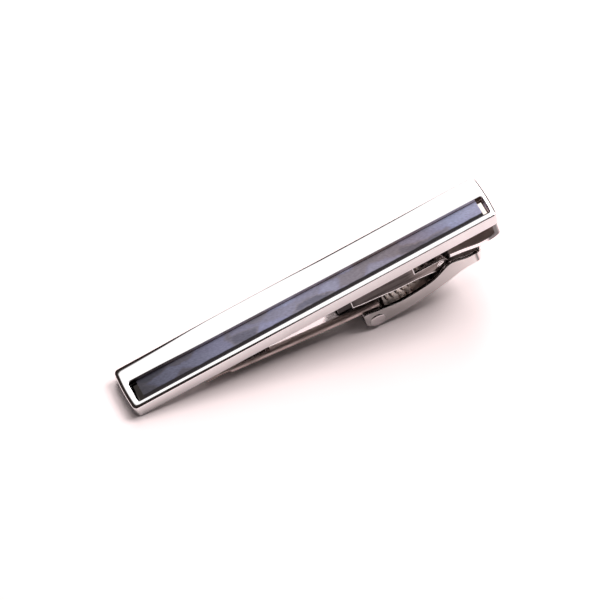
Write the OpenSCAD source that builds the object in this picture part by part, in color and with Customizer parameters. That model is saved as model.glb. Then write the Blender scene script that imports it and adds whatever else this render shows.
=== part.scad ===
// A tie clip: a plain bar with a sunk inlay, and behind it a sprung jaw worked by a thumb lever.
// Lengths are in millimetres and angles in degrees.
// Each piece is drawn in the bar's own frame: X runs from the bar's left end, Z rises from its back.
// The last step lays the whole clip on a table, resting on the bar's left end and on the lever.

/* [Bar] */
// Length of the bar from end to end.
bar_length = 58; // [54:1:64]
// Width of the bar across its face.
bar_width = 7.4; // [6:0.1:9]
// Thickness of the bar from its back to its face.
bar_thickness = 2.3; // [2.1:0.1:3]
// Radius of the bar's corners, seen from the front.
bar_corner_radius = 0.6; // [0.3:0.1:1.2]
// How far each end of the bar bows out past its corners.
end_bow = 0.2; // [0.1:0.05:0.5]
// Width of the bevel round the edge of the face.
edge_bevel = 0.2; // [0.1:0.05:0.4]

/* [Inlay] */
// Width of the sunk channel at its left end.
channel_width = 3.45; // [3:0.05:3.6]
// Width of the sunk channel at its right end.
channel_right_width = 2.95; // [2.5:0.05:3.4]
// Depth of the channel's floor below the face.
channel_depth = 0.8; // [0.6:0.05:1.2]
// Metal left between the channel and the bar's near side.
near_border = 1; // [0.7:0.1:1.5]
// Metal left between the channel and each end of the bar.
end_border = 0.9; // [0.7:0.1:2]
// Radius of the channel's corners, seen from the front.
channel_corner_radius = 0.3; // [0.1:0.05:0.6]
// Thickness of the inlay strip.
inlay_thickness = 0.2; // [0.1:0.05:0.4]
// Bare floor left at the inlay's left end.
left_bare_floor = 0.8; // [0.6:0.1:2]
// Bare floor left at the inlay's right end.
right_bare_floor = 1; // [0.6:0.1:2]

/* [Lever] */
// Width of the thumb lever over both of its sides.
lever_width = 6.6; // [6:0.1:7.4]
// Thickness of the lever's sheet.
lever_sheet = 0.5; // [0.35:0.05:0.6]
// Greatest distance of the lever's back from the bar's back.
lever_drop = 9.7; // [9.5:0.1:11]
// Distance along the bar from the fulcrum pin to the jaw's rivet.
rivet_reach = 11.5; // [11:0.1:13]
// Distance along the bar from the fulcrum pin to the lever's tail.
tail_reach = 6.15; // [5.5:0.05:6.3]
// Radius of the tail's two upright corners.
tail_corner_radius = 0.95; // [0.7:0.05:1.4]
// Radius of the round eye at the lever's front end.
lever_eye_radius = 1.8; // [1.6:0.05:1.9]
// Radius of the lever's two inner ears round the fulcrum pin.
inner_ear_radius = 0.9; // [0.8:0.05:1]
// Radius of the rivet's two heads.
rivet_head_radius = 1.2; // [0.9:0.05:1.3]
// Height of each rivet head over the lever's side.
rivet_head_height = 0.2; // [0.1:0.05:0.4]
// Radius of the rivet's shank.
rivet_radius = 0.55; // [0.4:0.05:0.6]

/* [Bracket] */
// Distance along the bar from its right end to the fulcrum pin.
fulcrum_inset = 9.8; // [9.6:0.1:11]
// Distance of the fulcrum pin from the bar's back.
fulcrum_drop = 4; // [3.9:0.1:4.3]
// Thickness of the bracket's sheet.
bracket_sheet = 0.45; // [0.35:0.05:0.55]
// Radius of the rounded ends of the bracket's arms.
arm_radius = 1.1; // [1:0.05:1.15]
// Radius of the fulcrum pin.
fulcrum_radius = 0.5; // [0.4:0.05:0.55]
// Length of the free arms, from the bracket's walls to the fulcrum pin.
arm_length = 4.1; // [3:0.1:5]
// Length of the bracket's walls.
wall_length = 10; // [9:0.5:11]
// Length of the narrow nose in front of the bracket's walls.
nose_length = 2.1; // [1:0.1:3]

/* [Jaw] */
// Distance along the bar from its left end to the jaw's tip.
jaw_tip_inset = 11; // [8:0.5:14]
// Height of the jaw's turned-down sides.
jaw_side_height = 0.95; // [0.8:0.05:1]
// Thickness of the jaw's sheet.
jaw_sheet = 0.45; // [0.35:0.05:0.5]
// Width of the jaw's heel, which the spring pushes.
heel_width = 2.6; // [2.4:0.1:3.4]
// Number of gripping ridges across the jaw.
ridge_count = 8; // [4:1:10]
// Height of each gripping ridge.
ridge_height = 0.25; // [0.15:0.05:0.3]

/* [Spring and end strip] */
// Diameter of the spring's wire.
wire_diameter = 0.3; // [0.25:0.05:0.35]
// Outer radius of the spring's curls.
curl_radius = 1.1; // [0.9:0.05:1.15]
// Number of curls in the spring.
curl_count = 8; // [6:1:9]
// Thickness of the curled strip at the bar's right end.
strip_thickness = 0.75; // [0.6:0.05:0.8]
// Length of the curled strip along the bar.
strip_length = 8.5; // [8:0.1:8.6]
// Depth that the curled strip hangs below the bar's back.
strip_drop = 3; // [2.6:0.1:3.1]

/* [Fits] */
// Radial clearance of a pin in a bore that turns on it.
running_clearance = 0.05; // [0.02:0.01:0.09]
// Clearance between sides that slide past each other.
side_clearance = 0.1; // [0.05:0.01:0.15]
// Clearance round the inlay and at parts that only touch.
touch_clearance = 0.03; // [0.01:0.01:0.05]

/* [Hidden] */
// Facets of large circles, of circles and of small circles, and steps of a quarter circle.
bow_facets = 360;
facets = 64;
small_facets = 32;
quarter_steps = 8;

// Cuts run this far past the faces that they open.
cut_margin = 1;

// Radius of the arc that bows each end out over the bar's width.
half_bar_width = bar_width / 2;
bow_radius = (pow(half_bar_width, 2) + pow(end_bow, 2)) / (2 * end_bow);

// The channel and the inlay in it. The channel's far side runs in a little towards the right.
channel_end = bar_length - end_border;
channel_near_y = near_border - half_bar_width;
channel_slope = (channel_right_width - channel_width) / (channel_end - end_border);
channel_floor = bar_thickness - channel_depth;
inlay_start = end_border + left_bare_floor;
inlay_end = channel_end - right_bare_floor;

// Places of the fulcrum pin, the rivet and the two ends of the lever.
fulcrum_x = bar_length - fulcrum_inset;
rivet_x = fulcrum_x - rivet_reach;
lever_span = rivet_reach + tail_reach;
lever_end_x = rivet_x + lever_span;
rivet_drop = lever_drop - lever_eye_radius;

// Outline of the lever's back, as shares of its span from the rivet and of its greatest drop.
back_along_shares = [0.085, 0.176, 0.266, 0.346, 0.439, 0.527, 0.606, 0.68, 0.731, 0.782, 0.867,
                     0.929, 0.974, 1];
back_drop_shares = [1, 0.999, 0.993, 0.975, 0.95, 0.917, 0.878, 0.836, 0.807, 0.777, 0.762,
                    0.754, 0.735, 0.69];
// Outline of the lever's upper edges, from the tail to the eye, in the same shares.
rim_along_shares = [1, 0.918, 0.878, 0.836, 0.793, 0.751, 0.725, 0.697, 0.665, 0.633, 0.584,
                    0.541, 0.499, 0.437, 0.374, 0.312, 0.249, 0.19, 0.13, 0.011, -0.062, -0.09];
rim_drop_shares = [0.49, 0.492, 0.492, 0.477, 0.448, 0.424, 0.415, 0.424, 0.455, 0.499, 0.558,
                   0.595, 0.62, 0.641, 0.655, 0.666, 0.672, 0.664, 0.645, 0.6, 0.564, 0.572];
// Where the eye's upright front edge ends at the top, as a share of the lever's drop.
front_edge_share = 0.615;
// This many points of the back lie within the thickness of the tail's end wall.
points_in_end_wall = 1;

// Widths across the clip, from the lever inwards.
lever_inner_width = lever_width - 2 * lever_sheet;
bracket_width = lever_inner_width - 2 * side_clearance;
bracket_inner_width = bracket_width - 2 * bracket_sheet;
jaw_width = bracket_width;

// The bracket's walls and nose, with their lower edge in shares of the fulcrum's drop.
wall_end_x = fulcrum_x - arm_length;
wall_front_x = wall_end_x - wall_length;
wall_along_shares = [0, 0.13, 0.41, 0.67, 1];
wall_drop_shares = [0.77, 0.85, 0.95, 1.07, 1.12];
arm_top_drop = fulcrum_drop - arm_radius;
nose_drop_share = 0.88;
nose_drop = fulcrum_drop * nose_drop_share;
nose_width_share = 0.8;
nose_overlap = 0.5;

// The spring's seat in the bracket and the heel on the jaw that it pushes.
seat_thickness = 0.45;
seat_offset = 2.3;
seat_x = fulcrum_x - seat_offset;
seat_drop_share = 0.835;
seat_drop = lever_drop * seat_drop_share;
heel_offset_share = 0.13;
heel_x = rivet_x + rivet_reach * heel_offset_share;
heel_drop_share = 0.915;
heel_drop = lever_drop * heel_drop_share;
jaw_ear_share = 0.63;
jaw_ear_radius = lever_eye_radius * jaw_ear_share;

// The lever's inner ears lie between the bracket's arms and follow the slope of the lever's back.
inner_ear_width = bracket_inner_width - 2 * side_clearance;
inner_ear_drop_shares = [0.858, 0.8];

// Outline of the jaw's upper side, as shares of its length and of the rivet's drop.
jaw_span = rivet_x - jaw_tip_inset;
jaw_along_shares = [0.035, 0.058, 0.144, 0.808, 1];
jaw_drop_shares = [0, 0.171, 0.24, 0.557, 0.62];
tip_floor_share = 0.253;
ridge_start_share = 0.2;
ridge_end_share = 0.56;
ridge_base_share = 3;
ridge_base = ridge_base_share * ridge_height;

// The spring's middle line runs from the heel to the seat.
spring_start_share = 0.784;
spring_end_share = 0.715;
end_gap = touch_clearance + wire_diameter / 2;
spring_start = [heel_x + jaw_sheet + end_gap, -lever_drop * spring_start_share];
spring_end = [seat_x - end_gap, -lever_drop * spring_end_share];
curl_rings = 8;
wire_sides = 6;
coil_middle_radius = curl_radius - wire_diameter / 2;

// The curled strip's outer outline, as shares of its length and of its depth, from the bar to its end.
strip_along_shares = [0, 0, 0.012, 0.045, 0.09, 0.15, 0.22, 0.31, 0.39, 0.48, 0.57, 0.67, 0.78, 0.9,
                      1];
strip_drop_shares = [0, 0.35, 0.54, 0.71, 0.83, 0.91, 0.96, 0.99, 1, 0.985, 0.93, 0.85, 0.765, 0.7,
                     0.65];

// The clip leans until the bar's left end and the lever's eye both touch the table.
eye_distance = sqrt(pow(rivet_x, 2) + pow(rivet_drop, 2));
lean = atan(rivet_drop / rivet_x) + asin(lever_eye_radius / eye_distance);

// The middle between the leaning face's left edge and the curled strip's outermost point.
left_reach = (bar_thickness - edge_bevel) * sin(lean);
right_reach = max([for (i = [0:len(strip_along_shares) - 1])
    strip_point(i) * [cos(lean), -sin(lean)]]);
middle_x = (right_reach - left_reach) / 2;

metal_colour = [0.8, 0.79, 0.79];
dark_metal_colour = [0.6, 0.58, 0.58];
inlay_colour = [0.4, 0.42, 0.55];

// Lays a piece drawn in the bar's frame on the table, with the clip's middle over the origin.
module on_the_table() {
    translate([-middle_x, 0, 0])
        rotate([0, -lean, 0])
            children();
}

// Spreads an outline drawn in length and height over a width centred on the bar.
module across(width) {
    translate([0, width / 2, 0])
        rotate([90, 0, 0])
            linear_extrude(width)
                children();
}

// A bore across the whole clip, at a place along the bar and a drop below its back.
module cross_bore(along, drop, radius) {
    translate([along, 0, -drop])
        rotate([90, 0, 0])
            cylinder(h = lever_width + cut_margin, r = radius, center = true, $fn = facets);
}

// A rectangle with round corners, starting at the origin and centred across.
module round_rectangle(length, width, radius) {
    translate([radius, -width / 2])
        square([length - 2 * radius, width]);
    translate([0, radius - width / 2])
        square([length, width - 2 * radius]);
    for (x = [radius, length - radius], y = [radius - width / 2, width / 2 - radius])
        translate([x, y])
            circle(radius, $fn = small_facets);
}

// A little more than the left half of the bar seen from the front, with round corners and a bowed end.
module half_bar_plan() {
    intersection() {
        round_rectangle(bar_length, bar_width, bar_corner_radius);
        translate([bow_radius, 0])
            circle(bow_radius, $fn = bow_facets);
        translate([0, -half_bar_width])
            square([bar_length / 2 + cut_margin, bar_width]);
    }
}

module bar_plan() {
    half_bar_plan();
    translate([bar_length, 0])
        mirror([1, 0])
            half_bar_plan();
}

// A slab's cross-section of the given width, standing on its base, with its two top corners cut.
module bevelled_section(width) {
    polygon([
        [0, 0], [width, 0], [width, bar_thickness - edge_bevel], [width - edge_bevel, bar_thickness],
        [edge_bevel, bar_thickness], [0, bar_thickness - edge_bevel]
    ]);
}

// Where the channel's far side lies across the bar, at a place along it.
function channel_far_y(x) = channel_near_y + channel_width + channel_slope * (x - end_border);

// A quarter circle of points about a middle, from an angle on.
function quarter(middle, radius, start) = [for (k = [0:quarter_steps])
    middle + radius * [cos(start + 90 * k / quarter_steps), sin(start + 90 * k / quarter_steps)]];

// The channel seen from the front, with round corners.
module channel_plan() {
    left_x = end_border + channel_corner_radius;
    right_x = channel_end - channel_corner_radius;
    near_y = channel_near_y + channel_corner_radius;
    polygon(concat(
        quarter([right_x, channel_far_y(right_x) - channel_corner_radius], channel_corner_radius, 0),
        quarter([left_x, channel_far_y(left_x) - channel_corner_radius], channel_corner_radius, 90),
        quarter([left_x, near_y], channel_corner_radius, 180),
        quarter([right_x, near_y], channel_corner_radius, 270)
    ));
}

module front_bar() {
    color(metal_colour)
        on_the_table()
            difference() {
                intersection() {
                    linear_extrude(bar_thickness)
                        bar_plan();
                    across(bar_width)
                        bevelled_section(bar_length);
                    translate([0, -half_bar_width, 0])
                        rotate([90, 0, 90])
                            linear_extrude(bar_length)
                                bevelled_section(bar_width);
                }
                translate([0, 0, channel_floor])
                    linear_extrude(channel_depth + cut_margin)
                        channel_plan();
            }
}

module inlay_strip() {
    near_y = channel_near_y + touch_clearance;
    color(inlay_colour)
        on_the_table()
            translate([0, 0, channel_floor])
                linear_extrude(inlay_thickness)
                    polygon([
                        [inlay_start, near_y], [inlay_end, near_y],
                        [inlay_end, channel_far_y(inlay_end) - touch_clearance],
                        [inlay_start, channel_far_y(inlay_start) - touch_clearance]
                    ]);
}

// One side of the bracket: a wall on the bar's back and a free arm with a rounded end.
module bracket_side() {
    wall_bottom = [for (i = [0:len(wall_along_shares) - 1])
        [wall_front_x + wall_along_shares[i] * wall_length, -fulcrum_drop * wall_drop_shares[i]]];
    polygon(concat(
        [[wall_front_x, 0]],
        wall_bottom,
        [[fulcrum_x, -fulcrum_drop - arm_radius], [fulcrum_x, -arm_top_drop],
         [wall_end_x, -arm_top_drop], [wall_end_x, 0]]
    ));
    translate([fulcrum_x, -fulcrum_drop])
        circle(arm_radius, $fn = facets);
}

module hinge_bracket() {
    nose_width = bracket_width * nose_width_share;
    nose_x = wall_front_x - nose_length;
    color(dark_metal_colour)
        on_the_table()
            difference() {
                union() {
                    for (side = [-1, 1])
                        translate([0, side * (bracket_width - bracket_sheet) / 2, 0])
                            across(bracket_sheet)
                                bracket_side();
                    translate([nose_x, -nose_width / 2, -bracket_sheet])
                        cube([nose_length + nose_overlap, nose_width, bracket_sheet]);
                    translate([wall_front_x, -bracket_inner_width / 2, -bracket_sheet])
                        cube([wall_length, bracket_inner_width, bracket_sheet]);
                    translate([nose_x, -nose_width / 2, -nose_drop])
                        cube([bracket_sheet, nose_width, nose_drop]);
                    for (side = [-1, 1])
                        translate([0, side * (nose_width - bracket_sheet) / 2, 0])
                            across(bracket_sheet)
                                translate([nose_x, -nose_drop])
                                    square([nose_length + nose_overlap, nose_drop]);
                    translate([seat_x, -bracket_inner_width / 2, -seat_drop])
                        cube([seat_thickness, bracket_inner_width, seat_drop - arm_top_drop]);
                }
                cross_bore(fulcrum_x, fulcrum_drop, fulcrum_radius + running_clearance);
            }
}

// The curled strip seen from the side, running from the bar's right end back under the bar.
function strip_point(i) = [
    bar_length - strip_along_shares[i] * strip_length, -strip_drop * strip_drop_shares[i]
];

// The same point moved inwards by the strip's thickness, square to the outline there.
function strip_inner_point(i) =
    let (
        last = len(strip_along_shares) - 1,
        run = strip_point(min(i + 1, last)) - strip_point(max(i - 1, 0)),
        inwards = [run[1], -run[0]] / norm(run)
    )
    i == 0 ? [bar_length - strip_thickness, 0] : strip_point(i) + strip_thickness * inwards;

// The strip is as wide as the bar, and its corners follow the bar's end.
module end_strip() {
    last = len(strip_along_shares) - 1;
    color(dark_metal_colour)
        on_the_table()
            intersection() {
                across(bar_width)
                    polygon(concat(
                        [for (i = [0:last]) strip_point(i)],
                        [for (i = [last:-1:0]) strip_inner_point(i)]
                    ));
                translate([0, 0, -strip_drop])
                    linear_extrude(strip_drop)
                        bar_plan();
            }
}

// A point of the lever's outline from its shares of the span and of the drop.
function lever_point(along, drop) = [rivet_x + along * lever_span, -lever_drop * drop];

// The lever seen from the side, apart from the round part of its eye.
module lever_side() {
    front_x = rivet_x - lever_eye_radius;
    back = [for (i = [0:len(back_along_shares) - 1])
        lever_point(back_along_shares[i], back_drop_shares[i])];
    rim = [for (i = [0:len(rim_along_shares) - 1])
        lever_point(rim_along_shares[i], rim_drop_shares[i])];
    front = [[front_x, -lever_drop * front_edge_share], [front_x, -rivet_drop], [rivet_x, -lever_drop]];
    polygon(concat(back, rim, front));
}

// The space between the lever's two sides, open upwards and towards the jaw.
module lever_hollow_side() {
    last = len(back_along_shares) - 1 - points_in_end_wall;
    back = [for (i = [0:last])
        lever_point(back_along_shares[i], back_drop_shares[i]) + [0, lever_sheet]];
    front_x = rivet_x - lever_eye_radius - cut_margin;
    front_floor = lever_sheet - lever_drop;
    polygon(concat(
        [[front_x, 0], [front_x, front_floor], [rivet_x, front_floor]],
        back,
        [[lever_end_x, back[last][1]], [lever_end_x, 0]]
    ));
}

// A slab as wide as the lever less an inset, with its tail corners rounded seen from above.
module lever_plan(inset) {
    start_x = rivet_x - 2 * lever_eye_radius;
    width = lever_width - 2 * inset;
    radius = tail_corner_radius - inset;
    plan_end_x = lever_end_x - inset;
    translate([0, 0, -2 * lever_drop])
        linear_extrude(2 * lever_drop) {
            translate([start_x, -width / 2])
                square([plan_end_x - radius - start_x, width]);
            translate([start_x, radius - width / 2])
                square([plan_end_x - start_x, width - 2 * radius]);
            for (side = [-1, 1])
                translate([plan_end_x - radius, side * (width / 2 - radius)])
                    circle(radius, $fn = facets);
        }
}

// One of the lever's two inner ears, seen from the side, from its back up to the fulcrum pin.
module inner_ear_side() {
    translate([fulcrum_x, -fulcrum_drop])
        circle(inner_ear_radius, $fn = facets);
    polygon([
        [fulcrum_x - inner_ear_radius, -fulcrum_drop],
        [fulcrum_x - inner_ear_radius, -lever_drop * inner_ear_drop_shares[0]],
        [fulcrum_x + inner_ear_radius, -lever_drop * inner_ear_drop_shares[1]],
        [fulcrum_x + inner_ear_radius, -fulcrum_drop]
    ]);
}

module thumb_lever() {
    color(metal_colour)
        on_the_table() {
            difference() {
                intersection() {
                    across(lever_width) {
                        lever_side();
                        translate([rivet_x, -rivet_drop])
                            circle(lever_eye_radius, $fn = facets);
                    }
                    lever_plan(0);
                }
                intersection() {
                    across(lever_inner_width)
                        lever_hollow_side();
                    lever_plan(lever_sheet);
                }
                cross_bore(rivet_x, rivet_drop, rivet_radius);
            }
            difference() {
                for (side = [-1, 1])
                    translate([0, side * (inner_ear_width - lever_sheet) / 2, 0])
                        across(lever_sheet)
                            inner_ear_side();
                cross_bore(fulcrum_x, fulcrum_drop, fulcrum_radius);
            }
        }
}

module fulcrum_pin() {
    color(metal_colour)
        on_the_table()
            translate([fulcrum_x, 0, -fulcrum_drop])
                rotate([90, 0, 0])
                    cylinder(h = bracket_width, r = fulcrum_radius, center = true, $fn = facets);
}

// A low domed rivet head, standing on the XY plane.
module rivet_head() {
    dome_radius = (pow(rivet_head_radius, 2) + pow(rivet_head_height, 2)) / (2 * rivet_head_height);
    intersection() {
        translate([0, 0, rivet_head_height - dome_radius])
            sphere(dome_radius, $fn = bow_facets);
        cylinder(h = rivet_head_height, r = rivet_head_radius, $fn = facets);
    }
}

module jaw_rivet() {
    color(metal_colour)
        on_the_table()
            translate([rivet_x, 0, -rivet_drop])
                rotate([90, 0, 0]) {
                    cylinder(h = lever_width, r = rivet_radius, center = true, $fn = facets);
                    for (side = [0, 1])
                        mirror([0, 0, side])
                            translate([0, 0, lever_width / 2])
                                rivet_head();
                }
}

// A point of the jaw's outline from its shares of the length and of the rivet's drop.
function jaw_point(along, drop) = [jaw_tip_inset + along * jaw_span, -rivet_drop * drop];

// The jaw's upper edge from its tip to the rivet.
function jaw_top() = concat(
    [[jaw_tip_inset, -touch_clearance],
     [jaw_tip_inset + jaw_along_shares[0] * jaw_span, -touch_clearance]],
    [for (i = [1:len(jaw_along_shares) - 1]) jaw_point(jaw_along_shares[i], jaw_drop_shares[i])]
);

// The jaw's sheet seen from the side: the turned-up tip and the long web.
module jaw_web() {
    top = jaw_top();
    web_bottom = [for (i = [len(top) - 1:-1:3]) top[i] - [0, jaw_sheet]];
    polygon(concat(top, web_bottom, [[jaw_tip_inset, -rivet_drop * tip_floor_share]]));
}

// One gripping ridge, a low tooth on the web's upper side.
module ridge(share) {
    slope_start = jaw_point(jaw_along_shares[2], jaw_drop_shares[2]);
    slope_end = jaw_point(jaw_along_shares[3], jaw_drop_shares[3]);
    part = (share - jaw_along_shares[2]) / (jaw_along_shares[3] - jaw_along_shares[2]);
    place = slope_start + part * (slope_end - slope_start);
    slope = (slope_end[1] - slope_start[1]) / (slope_end[0] - slope_start[0]);
    half_base = ridge_base / 2;
    translate(place)
        polygon([
            [-half_base, -half_base * slope - jaw_sheet / 2],
            [half_base, half_base * slope - jaw_sheet / 2],
            [half_base, half_base * slope], [0, ridge_height], [-half_base, -half_base * slope]
        ]);
}

// One turned-down side of the jaw, ending in an ear round the rivet.
module jaw_side() {
    top = [for (i = [2:4]) jaw_point(jaw_along_shares[i], jaw_drop_shares[i])];
    bottom = [for (i = [2:-1:0]) top[i] - [0, jaw_side_height]];
    polygon(concat(top, bottom));
    translate([rivet_x - jaw_ear_radius, -rivet_drop])
        square([2 * jaw_ear_radius, rivet_drop * (1 - jaw_drop_shares[4])]);
    translate([rivet_x, -rivet_drop])
        circle(jaw_ear_radius, $fn = facets);
}

module jaw_arm() {
    web_end = jaw_point(1, jaw_drop_shares[4]);
    heel_end_x = heel_x + jaw_sheet;
    color(metal_colour)
        on_the_table()
            difference() {
                union() {
                    across(jaw_width) {
                        jaw_web();
                        for (i = [0:ridge_count - 1])
                            ridge(ridge_start_share
                                  + i * (ridge_end_share - ridge_start_share) / (ridge_count - 1));
                    }
                    for (side = [-1, 1])
                        translate([0, side * (jaw_width - jaw_sheet) / 2, 0])
                            across(jaw_sheet)
                                jaw_side();
                    across(heel_width)
                        polygon([
                            web_end, [heel_end_x, web_end[1]], [heel_end_x, -heel_drop],
                            [heel_x, -heel_drop], [heel_x, web_end[1] - jaw_sheet],
                            web_end - [0, jaw_sheet]
                        ]);
                }
                cross_bore(rivet_x, rivet_drop, rivet_radius + running_clearance);
            }
}

// The spring's middle line, as points along a helix between its two ends.
spring_slope = atan2(spring_end[1] - spring_start[1], spring_end[0] - spring_start[0]);
spring_length = norm(spring_end - spring_start);
ring_total = curl_count * curl_rings;
function helix_point(ring) = [
    spring_length * ring / ring_total,
    coil_middle_radius * cos(360 * ring / curl_rings),
    coil_middle_radius * sin(360 * ring / curl_rings)
];

// The six corners of the wire round one point of the helix, square to the wire's own run.
function wire_ring(ring) =
    let (
        turn = 360 * ring / curl_rings,
        rise = spring_length / curl_count / (2 * PI * coil_middle_radius),
        outwards = [0, cos(turn), sin(turn)],
        onwards = [rise, -sin(turn), cos(turn)] / norm([rise, -sin(turn), cos(turn)]),
        sideways = cross(onwards, outwards)
    )
    [for (side = [0:wire_sides - 1])
        helix_point(ring) + wire_diameter / 2
            * (cos(360 * side / wire_sides) * outwards + sin(360 * side / wire_sides) * sideways)];

// Prints the least gap between one curl's wire and the next, measured on the helix's own points.
curl_gap = min([for (ring = [0:curl_rings - 1], step = [curl_rings / 2:3 * curl_rings / 2])
    norm(helix_point(ring + step) - helix_point(ring))]) - wire_diameter;
echo(least_gap_between_curls = curl_gap);

module closing_spring() {
    corners = [for (ring = [0:ring_total]) each wire_ring(ring)];
    walls = [for (ring = [0:ring_total - 1], side = [0:wire_sides - 1])
        let (
            here = ring * wire_sides,
            next = here + wire_sides,
            side_after = (side + 1) % wire_sides
        )
        each [[here + side, next + side, here + side_after],
              [here + side_after, next + side, next + side_after]]];
    last = ring_total * wire_sides;
    first_cap = [for (side = [1:wire_sides - 2]) [0, side, side + 1]];
    last_cap = [for (side = [1:wire_sides - 2]) [last, last + side + 1, last + side]];
    color(dark_metal_colour)
        on_the_table()
            translate([spring_start[0], 0, spring_start[1]])
                rotate([0, -spring_slope, 0])
                    polyhedron(points = corners, faces = concat(walls, first_cap, last_cap));
}

front_bar();
inlay_strip();
hinge_bracket();
end_strip();
thumb_lever();
fulcrum_pin();
jaw_rivet();
jaw_arm();
closing_spring();
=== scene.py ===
import math

import bmesh
import bpy
from mathutils import Matrix, Vector


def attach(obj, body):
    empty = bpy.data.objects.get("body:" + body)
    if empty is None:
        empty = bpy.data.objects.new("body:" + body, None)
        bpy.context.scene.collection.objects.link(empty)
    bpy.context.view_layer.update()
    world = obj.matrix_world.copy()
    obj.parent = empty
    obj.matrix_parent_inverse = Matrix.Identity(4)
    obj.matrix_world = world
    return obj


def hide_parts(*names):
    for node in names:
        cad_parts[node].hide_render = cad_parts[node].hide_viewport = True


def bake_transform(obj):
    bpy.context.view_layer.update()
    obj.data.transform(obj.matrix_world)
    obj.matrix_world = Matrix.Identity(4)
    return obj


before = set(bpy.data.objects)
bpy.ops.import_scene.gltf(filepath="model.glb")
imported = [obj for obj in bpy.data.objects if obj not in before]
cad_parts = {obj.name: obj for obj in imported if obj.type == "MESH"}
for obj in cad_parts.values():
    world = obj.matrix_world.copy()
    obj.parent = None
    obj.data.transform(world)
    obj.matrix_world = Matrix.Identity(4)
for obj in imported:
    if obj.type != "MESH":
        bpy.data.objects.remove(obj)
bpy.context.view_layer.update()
MM = 0.001

# Sizes in millimetres in the bar's own frame: x along the bar from its left end, y towards its far
# side, z up from its back
BAR_LENGTH, BAR_WIDTH, BAR_THICKNESS = 58, 7.4, 2.3
HALF_LENGTH, HALF_WIDTH = BAR_LENGTH / 2, BAR_WIDTH / 2
END_BOW, PLAN_CORNER = 0.2, 0.75
BOW_RADIUS = (HALF_WIDTH ** 2 + END_BOW ** 2) / (2 * END_BOW)
RIVET = Vector((36.7, 0, -7.9))
FULCRUM = Vector((48.2, 0, -4))
EYE_RADIUS = 1.8
LEAN = math.atan(-RIVET.z / RIVET.x) + math.asin(EYE_RADIUS / RIVET.length)
MIDDLE_X = 27.9144

# From the bar's own frame to the row frame, in which the clip rests on the bar's end and the eye
TO_ROW = (Matrix.Scale(MM, 4) @ Matrix.Translation((-MIDDLE_X, 0, 0))
          @ Matrix.Rotation(-LEAN, 4, "Y"))


# Camera, at the photograph's viewing angle; angles in degrees
CAMERA_AZIMUTH, CAMERA_ELEVATION, CAMERA_ROLL = -25.874, 52.666, 1.137
CAMERA_DISTANCE = 600 * MM
CAMERA_AIM = Vector((-0.895, 0.556, 7.503)) * MM
CAMERA_LENS = 256.2
CAMERA_CLIP = (0.01, 10)


def direction(azimuth, elevation):
    azimuth, elevation = math.radians(azimuth), math.radians(elevation)
    return Vector((math.sin(azimuth) * math.cos(elevation),
                   -math.cos(azimuth) * math.cos(elevation), math.sin(elevation)))


def new_object(name, data):
    made = bpy.data.objects.new(name, data)
    bpy.context.scene.collection.objects.link(made)
    return made


def add_camera():
    back = direction(CAMERA_AZIMUTH, CAMERA_ELEVATION)
    data = bpy.data.cameras.new("photo_camera")
    data.lens = CAMERA_LENS
    data.clip_start, data.clip_end = CAMERA_CLIP
    camera = new_object("photo_camera", data)
    camera.rotation_mode = "QUATERNION"
    roll = Matrix.Rotation(math.radians(CAMERA_ROLL), 3, "Z").to_quaternion()
    camera.rotation_quaternion = (-back).to_track_quat("-Z", "Y") @ roll
    camera.location = CAMERA_AIM + back * CAMERA_DISTANCE
    bpy.context.scene.camera = camera


# Shader nodes
def new_material(name):
    material = bpy.data.materials.new(name)
    material.use_nodes = True
    return material, material.node_tree.nodes, material.node_tree.links


def put(links, value, socket):
    """Links an output to a socket, or writes a plain value on it."""
    if isinstance(value, bpy.types.NodeSocket):
        links.new(value, socket)
    else:
        socket.default_value = value


def mixed(nodes, links, factor, a, b, blend_type="MIX"):
    node = nodes.new("ShaderNodeMix")
    node.data_type = "RGBA"
    node.blend_type = blend_type
    for socket, value in (("Factor", factor), ("A", a), ("B", b)):
        put(links, value, node.inputs[socket])
    return node.outputs["Result"]


def calculated(nodes, links, operation, *values):
    node = nodes.new("ShaderNodeMath")
    node.operation = operation
    for value, socket in zip(values, node.inputs):
        put(links, value, socket)
    return node.outputs["Value"]


def ranged(nodes, links, value, low, high, to_low, to_high, smooth=False):
    node = nodes.new("ShaderNodeMapRange")
    if smooth:
        node.interpolation_type = "SMOOTHSTEP"
    node.inputs["From Min"].default_value = low
    node.inputs["From Max"].default_value = high
    node.inputs["To Min"].default_value = to_low
    node.inputs["To Max"].default_value = to_high
    links.new(value, node.inputs["Value"])
    return node.outputs["Result"]


def mapped(nodes, links, where, **settings):
    """Coordinates changed by a Mapping node's Location, Rotation and Scale."""
    mapping = nodes.new("ShaderNodeMapping")
    for name, value in settings.items():
        mapping.inputs[name].default_value = value
    links.new(where, mapping.inputs["Vector"])
    return mapping.outputs["Vector"]


def bar_coordinates(nodes, links):
    """Object coordinates turned back into the bar's own frame, in millimetres."""
    place = nodes.new("ShaderNodeTexCoord")
    return mapped(nodes, links, place.outputs["Object"], Scale=(1 / MM, 1 / MM, 1 / MM),
                  Rotation=(0, LEAN, 0),
                  Location=(MIDDLE_X * math.cos(LEAN), 0, -MIDDLE_X * math.sin(LEAN)))


def axes(nodes, links, where):
    separate = nodes.new("ShaderNodeSeparateXYZ")
    links.new(where, separate.inputs["Vector"])
    return separate.outputs


def noise(nodes, links, where, scale, detail, stretch=None):
    if stretch:
        where = mapped(nodes, links, where, Scale=stretch)
    texture = nodes.new("ShaderNodeTexNoise")
    texture.inputs["Scale"].default_value = scale
    texture.inputs["Detail"].default_value = detail
    links.new(where, texture.inputs["Vector"])
    return texture.outputs["Fac"]


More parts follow.
